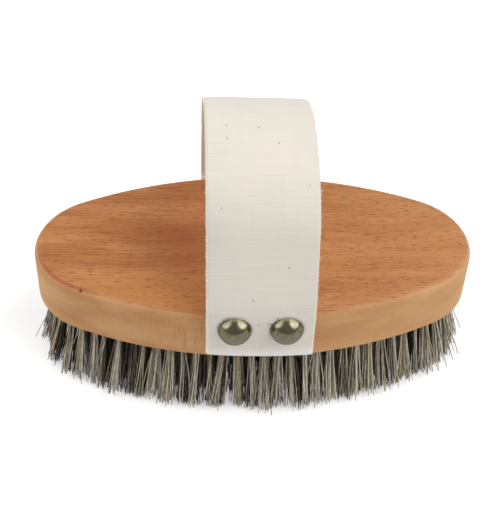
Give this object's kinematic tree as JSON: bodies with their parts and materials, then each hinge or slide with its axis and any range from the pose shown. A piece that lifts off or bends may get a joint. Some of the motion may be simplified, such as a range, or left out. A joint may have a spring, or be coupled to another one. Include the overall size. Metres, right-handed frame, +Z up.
{
  "type": "body dry brush",
  "caption": "Oval wooden body brush with a bed of stiff bristle tufts and a cotton hand strap nailed over its back.",
  "frame": {"origin": "middle of the plane of the bristle tips, under the centre of the oval block", "axes": "+X along the block's long axis, +Y to the back across the block, +Z up out of the block towards the strap"},
  "size_m": [0.14, 0.0832, 0.087],
  "materials": {
    "beech": "oiled, satin",
    "canvas": "natural unbleached cotton",
    "antique_brass": "antique, polished",
    "nail_steel": "drawn",
    "bristle": "natural mixed hair and plant fibre",
    "anchor_wire": "drawn"
  },
  "bodies": {
    "root": {"brush_block": "beech", "strap": "canvas", "nail_head_front_left": "antique_brass", "nail_head_front_right": "antique_brass", "nail_head_back_left": "antique_brass", "nail_head_back_right": "antique_brass", "nail_shank_front_left": "nail_steel", "nail_shank_front_right": "nail_steel", "nail_shank_back_left": "nail_steel", "nail_shank_back_right": "nail_steel", "tufts_ring_1_standing": "bristle", "tufts_middle_standing": "bristle", "tufts_ring_1": "bristle", "tufts_ring_2": "bristle", "tufts_ring_3": "bristle", "tufts_ring_4": "bristle", "tufts_middle_rows": "bristle", "anchors_ring_1": "anchor_wire", "anchors_ring_2": "anchor_wire", "anchors_ring_3": "anchor_wire", "anchors_ring_4": "anchor_wire", "anchors_middle_rows": "anchor_wire"}
  },
  "joints": []
}
